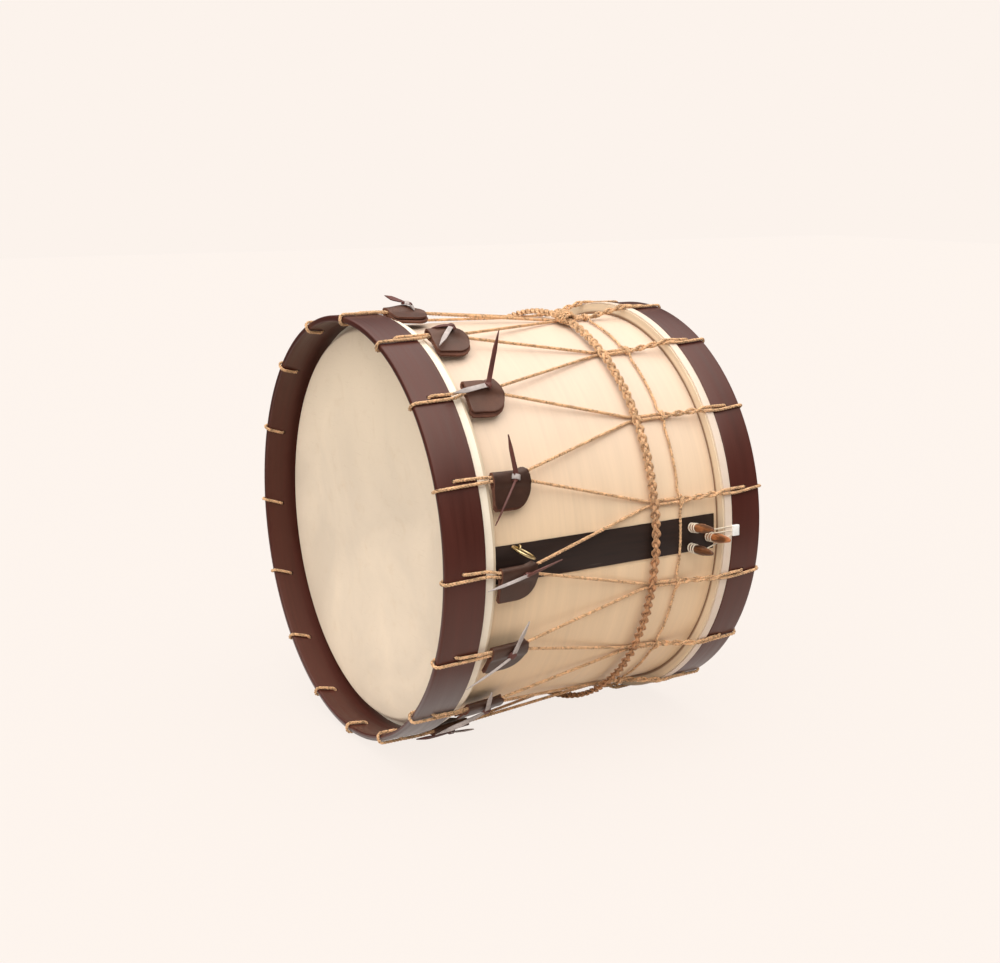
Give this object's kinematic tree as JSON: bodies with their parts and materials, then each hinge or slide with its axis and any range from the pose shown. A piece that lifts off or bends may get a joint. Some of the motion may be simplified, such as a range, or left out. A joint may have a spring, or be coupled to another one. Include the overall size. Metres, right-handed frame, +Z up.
{
  "type": "rope-tensioned drum",
  "caption": "Cylindrical wooden drum with two skin heads, laced by one rope through dark hoops, with sliding leather tugs, a carrying ring and a peg-tuned gut snare.",
  "frame": {"origin": "centre of the batter head's playing face, on the drum's axis", "axes": "+X along the drum's axis from the batter head to the snare head, +Z up as it lies on its side, -Y the side with the seam strip, sling ring and pegs"},
  "size_m": [0.3312, 0.4179, 0.4057],
  "materials": {
    "shell_wood": "pale oiled wood, faint grain",
    "strip": "near-black stained veneer, satin",
    "skin": "pale mottled goatskin, matt",
    "hoop_wood": "bare bent wood",
    "stained_wood": "dark red-brown stain, satin varnish",
    "jute": "tan twisted jute, slightly hairy",
    "leather": "dark brown vegetable-tanned leather, dull sheen",
    "thong": "red-brown grain side, grey flesh side",
    "brass": "polished brass",
    "peg_wood": "orange-brown turned wood, semi-gloss",
    "gut": "white gut string",
    "bone": "white bone block"
  },
  "bodies": {
    "drum": {"shell": "shell_wood", "seam_strip": "strip", "batter_head": "skin", "snare_head": "skin", "batter_flesh_hoop": "hoop_wood", "snare_flesh_hoop": "hoop_wood", "batter_counterhoop": "stained_wood", "snare_counterhoop": "stained_wood", "lacing_rope": "jute", "lacing_rope_under": "jute", "lacing_rope_end": "jute", "snare_loop_08": "jute", "snare_loop_09": "jute", "braided_belt": "jute", "binding_cord": "jute", "sling_eye": "brass", "snare_gut": "gut", "snare_gut_middle": "gut", "snare_guide": "bone"},
    "sling_ring_body": {"sling_ring": "brass"},
    "upper_peg_body": {"snare_peg_upper": "peg_wood"},
    "lower_peg_body": {"snare_peg_lower": "peg_wood"},
    "middle_peg_body": {"snare_peg_middle": "peg_wood"},
    "tug_01_body": {"tug_01": "leather", "lace_01": "thong"},
    "tug_02_body": {"tug_02": "leather", "lace_02": "thong"},
    "tug_03_body": {"tug_03": "leather", "lace_03": "thong"},
    "tug_04_body": {"tug_04": "leather", "lace_04": "thong"},
    "tug_05_body": {"tug_05": "leather", "lace_05": "thong"},
    "tug_06_body": {"tug_06": "leather", "lace_06": "thong"},
    "tug_07_body": {"tug_07": "leather", "lace_07": "thong"},
    "tug_08_body": {"tug_08": "leather", "lace_08": "thong"},
    "tug_09_body": {"tug_09": "leather", "lace_09": "thong"},
    "tug_10_body": {"tug_10": "leather", "lace_10": "thong"},
    "tug_11_body": {"tug_11": "leather", "lace_11": "thong"},
    "tug_12_body": {"tug_12": "leather", "lace_12": "thong"},
    "tug_13_body": {"tug_13": "leather", "lace_13": "thong"},
    "tug_14_body": {"tug_14": "leather", "lace_14": "thong"},
    "tug_15_body": {"tug_15": "leather", "lace_15": "thong"},
    "tug_16_body": {"tug_16": "leather", "lace_16": "thong"}
  },
  "joints": [
    {"name": "tug_01_slide", "type": "slide", "parent": "drum", "child": "tug_01_body", "axis": [0.9968, 0.0006, -0.0802], "range_m": [0, 0.06], "deforming": ["lacing_rope"]},
    {"name": "tug_02_slide", "type": "slide", "parent": "drum", "child": "tug_02_body", "axis": [0.9968, 0.0312, -0.0739], "range_m": [0, 0.06], "deforming": ["lacing_rope"]},
    {"name": "tug_03_slide", "type": "slide", "parent": "drum", "child": "tug_03_body", "axis": [0.9968, 0.0571, -0.0563], "range_m": [0, 0.06], "deforming": ["lacing_rope"]},
    {"name": "tug_04_slide", "type": "slide", "parent": "drum", "child": "tug_04_body", "axis": [0.9968, 0.0743, -0.0302], "range_m": [0, 0.06], "deforming": ["lacing_rope"]},
    {"name": "tug_05_slide", "type": "slide", "parent": "drum", "child": "tug_05_body", "axis": [0.9968, 0.0802, 0.0006], "range_m": [0, 0.06], "deforming": ["lacing_rope"]},
    {"name": "tug_06_slide", "type": "slide", "parent": "drum", "child": "tug_06_body", "axis": [0.9968, 0.0739, 0.0312], "range_m": [0, 0.06], "deforming": ["lacing_rope"]},
    {"name": "tug_07_slide", "type": "slide", "parent": "drum", "child": "tug_07_body", "axis": [0.9968, 0.0563, 0.0571], "range_m": [0, 0.06], "deforming": ["lacing_rope"]},
    {"name": "tug_08_slide", "type": "slide", "parent": "drum", "child": "tug_08_body", "axis": [0.9968, 0.0302, 0.0743], "range_m": [0, 0.06], "deforming": ["lacing_rope"]},
    {"name": "tug_09_slide", "type": "slide", "parent": "drum", "child": "tug_09_body", "axis": [0.9968, -0.0006, 0.0802], "range_m": [0, 0.06], "deforming": ["lacing_rope_under"]},
    {"name": "tug_10_slide", "type": "slide", "parent": "drum", "child": "tug_10_body", "axis": [0.9968, -0.0312, 0.0739], "range_m": [0, 0.06], "deforming": ["lacing_rope_end"]},
    {"name": "tug_11_slide", "type": "slide", "parent": "drum", "child": "tug_11_body", "axis": [0.9968, -0.0571, 0.0563], "range_m": [0, 0.06], "deforming": ["lacing_rope_end"]},
    {"name": "tug_12_slide", "type": "slide", "parent": "drum", "child": "tug_12_body", "axis": [0.9968, -0.0743, 0.0302], "range_m": [0, 0.06], "deforming": ["lacing_rope_end"]},
    {"name": "tug_13_slide", "type": "slide", "parent": "drum", "child": "tug_13_body", "axis": [0.9968, -0.0802, -0.0006], "range_m": [0, 0.06], "deforming": ["lacing_rope"]},
    {"name": "tug_14_slide", "type": "slide", "parent": "drum", "child": "tug_14_body", "axis": [0.9968, -0.0739, -0.0312], "range_m": [0, 0.06], "deforming": ["lacing_rope"]},
    {"name": "tug_15_slide", "type": "slide", "parent": "drum", "child": "tug_15_body", "axis": [0.9968, -0.0563, -0.0571], "range_m": [0, 0.06], "deforming": ["lacing_rope"]},
    {"name": "tug_16_slide", "type": "slide", "parent": "drum", "child": "tug_16_body", "axis": [0.9968, -0.0302, -0.0743], "range_m": [0, 0.06], "deforming": ["lacing_rope"]},
    {"name": "sling_ring_swing", "type": "hinge", "parent": "drum", "child": "sling_ring_body", "pos_m": [0.0468, -0.18165, 0.01275], "axis": [0.891, -0.0318, -0.4529], "range_deg": [-80, 0]},
    {"name": "upper_peg_turn", "type": "hinge", "parent": "drum", "child": "upper_peg_body", "pos_m": [0.2248, -0.17634, 0.00762], "axis": [0, -0.9891, 0.1473], "continuous": true},
    {"name": "lower_peg_turn", "type": "hinge", "parent": "drum", "child": "lower_peg_body", "pos_m": [0.2248, -0.17621, -0.01008], "axis": [0, -0.9989, 0.0476], "continuous": true},
    {"name": "middle_peg_turn", "type": "hinge", "parent": "drum", "child": "middle_peg_body", "pos_m": [0.2435, -0.17649, -0.00223], "axis": [0, -0.9958, 0.0919], "continuous": true}
  ]
}
